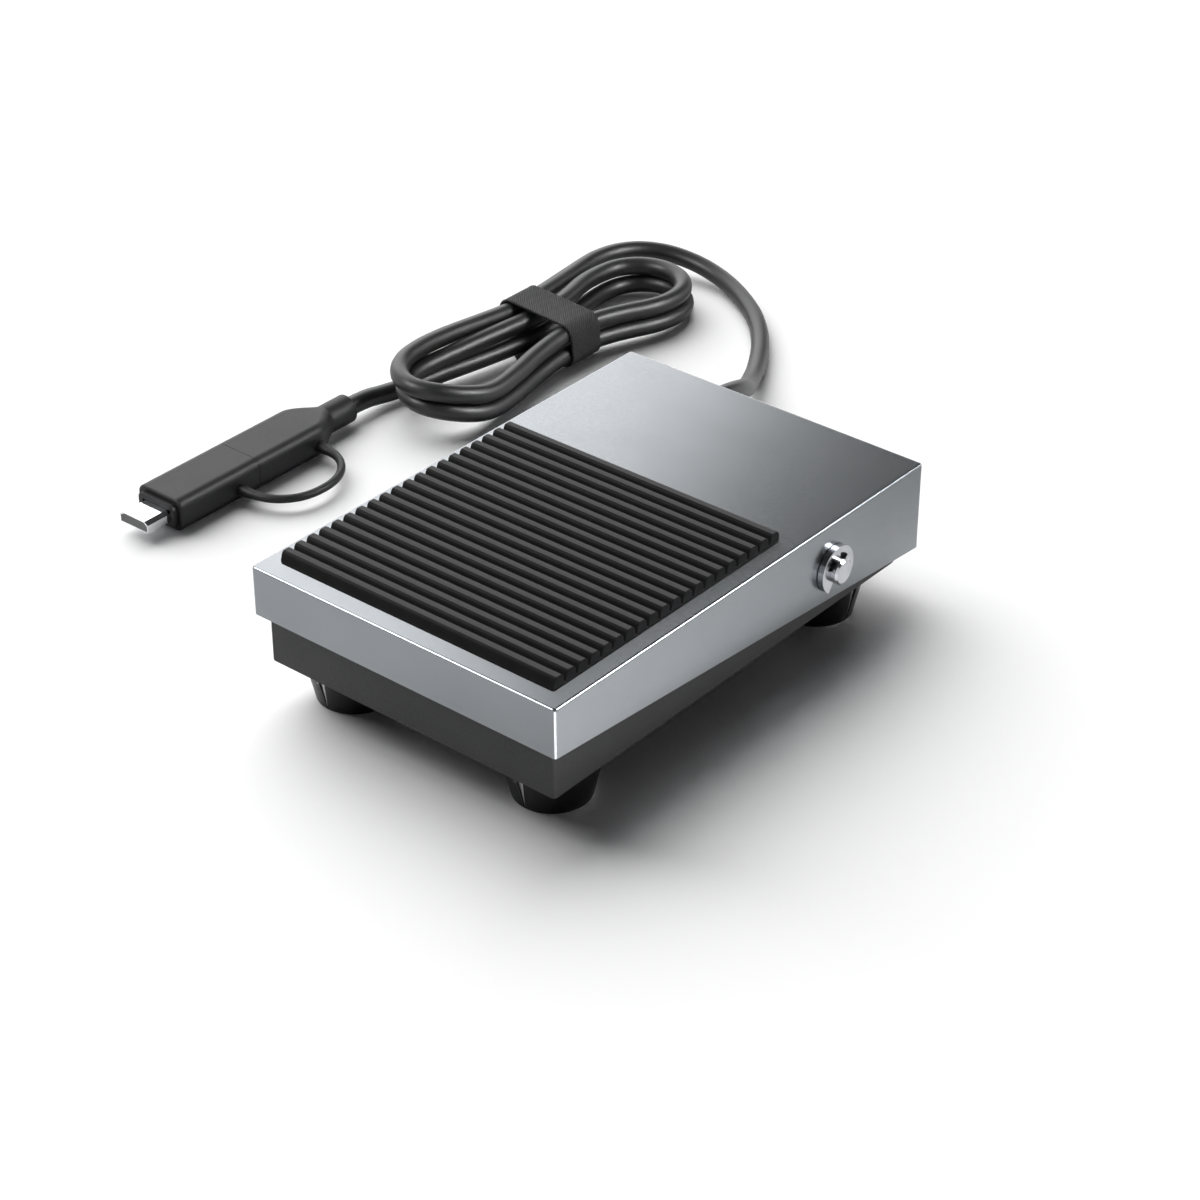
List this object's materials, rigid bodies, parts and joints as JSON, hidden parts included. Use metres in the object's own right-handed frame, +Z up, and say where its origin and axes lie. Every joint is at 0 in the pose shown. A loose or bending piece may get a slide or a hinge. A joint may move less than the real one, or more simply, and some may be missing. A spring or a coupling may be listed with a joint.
{
  "type": "foot_pedal_switch",
  "caption": "Foot pedal switch: satin metal treadle with a ribbed rubber pad, black base on rubber feet, cable tied in a hank, and a plug with a tethered adapter.",
  "frame": {"origin": "centre of the pedal's bounding box without its cable, on the floor under the feet", "axes": "+X to the right seen from the toe edge, +Y from the toe edge to the cable edge, +Z up"},
  "size_m": [0.1374, 0.1852, 0.0308],
  "materials": {
    "shell_metal": "bead-blasted satin",
    "rubber_black": "satin",
    "tray_plastic": "fine matt grain",
    "cable_jacket": "satin",
    "plug_plastic": "satin",
    "bright_steel": "bright",
    "zinc_steel": "zinc plated",
    "contact_brass": "bright",
    "board_green": "lacquered",
    "socket_white": "natural",
    "strap_webbing": "woven",
    "clear_adhesive": "film"
  },
  "bodies": {
    "root": {"base_tray": "tray_plastic", "ballast_plate": "zinc_steel", "ballast_screws": "zinc_steel", "foot_front_left": "rubber_black", "foot_front_right": "rubber_black", "foot_rear_left": "rubber_black", "foot_rear_right": "rubber_black", "foot_screws": "zinc_steel", "pivot_bush_left": "tray_plastic", "pivot_bush_right": "tray_plastic", "rest_bumpers": "rubber_black", "down_stops": "rubber_black", "return_spring": "zinc_steel", "switch_case": "plug_plastic", "switch_cover": "plug_plastic", "switch_blade": "contact_brass", "switch_terminals": "contact_brass", "switch_screws": "zinc_steel", "switch_wires": "cable_jacket", "circuit_board": "board_green", "board_screws": "zinc_steel", "board_socket": "socket_white", "board_capacitors": "zinc_steel", "controller_chip": "plug_plastic", "timing_crystal": "bright_steel", "cord_housing": "socket_white", "cord_wires": "cable_jacket", "cord_inside": "cable_jacket", "cord_clamp": "tray_plastic", "clamp_screws": "zinc_steel", "cord_gland": "rubber_black", "cord_lead": "cable_jacket", "cord_hank": "cable_jacket", "cord_tail": "cable_jacket", "tie_strap": "strap_webbing", "plug_body": "plug_plastic", "plug_shell": "bright_steel", "plug_core": "plug_plastic", "tether_loop": "cable_jacket"},
    "treadle": {"treadle_shell": "shell_metal", "tread_pad": "rubber_black", "pad_adhesive": "clear_adhesive", "pivot_pin": "bright_steel", "retaining_clips": "bright_steel", "striker_bracket": "shell_metal", "actuator_screw": "zinc_steel", "actuator_lock_nut": "zinc_steel", "spring_guide": "tray_plastic"},
    "switch_lever": {"switch_lever": "zinc_steel"},
    "switch_plunger": {"switch_plunger": "plug_plastic"},
    "adapter": {"adapter_body": "plug_plastic", "adapter_shell": "bright_steel", "adapter_tongue": "plug_plastic", "adapter_contacts": "contact_brass", "adapter_socket": "bright_steel", "adapter_inner_tongue": "plug_plastic"}
  },
  "joints": [
    {"name": "pedal_press", "type": "hinge", "parent": "root", "child": "treadle", "pos_m": [0, 0.02465, 0.0188], "axis": [1, 0, 0], "range_deg": [0, 4.5], "stiffness_Nm_per_rad": 3, "springref_deg": -5.73, "deforming": ["return_spring"]},
    {"name": "switch_lever_tilt", "type": "hinge", "parent": "root", "child": "switch_lever", "pos_m": [0.014, 0.0032, 0.02075], "axis": [1, 0, 0], "range_deg": [0, 11.5]},
    {"name": "switch_plunger_slide", "type": "slide", "parent": "root", "child": "switch_plunger", "axis": [0, 0, -1], "range_m": [0, 0.0008]},
    {"name": "adapter_pull", "type": "slide", "parent": "root", "child": "adapter", "axis": [0, -1, 0], "range_m": [0, 0.012]}
  ],
  "couplings": [
    {"joint": "switch_lever_tilt", "follows": "pedal_press", "ratio": 2.5},
    {"joint": "switch_plunger_slide", "follows": "pedal_press", "m_per_rad": 0.0095}
  ]
}
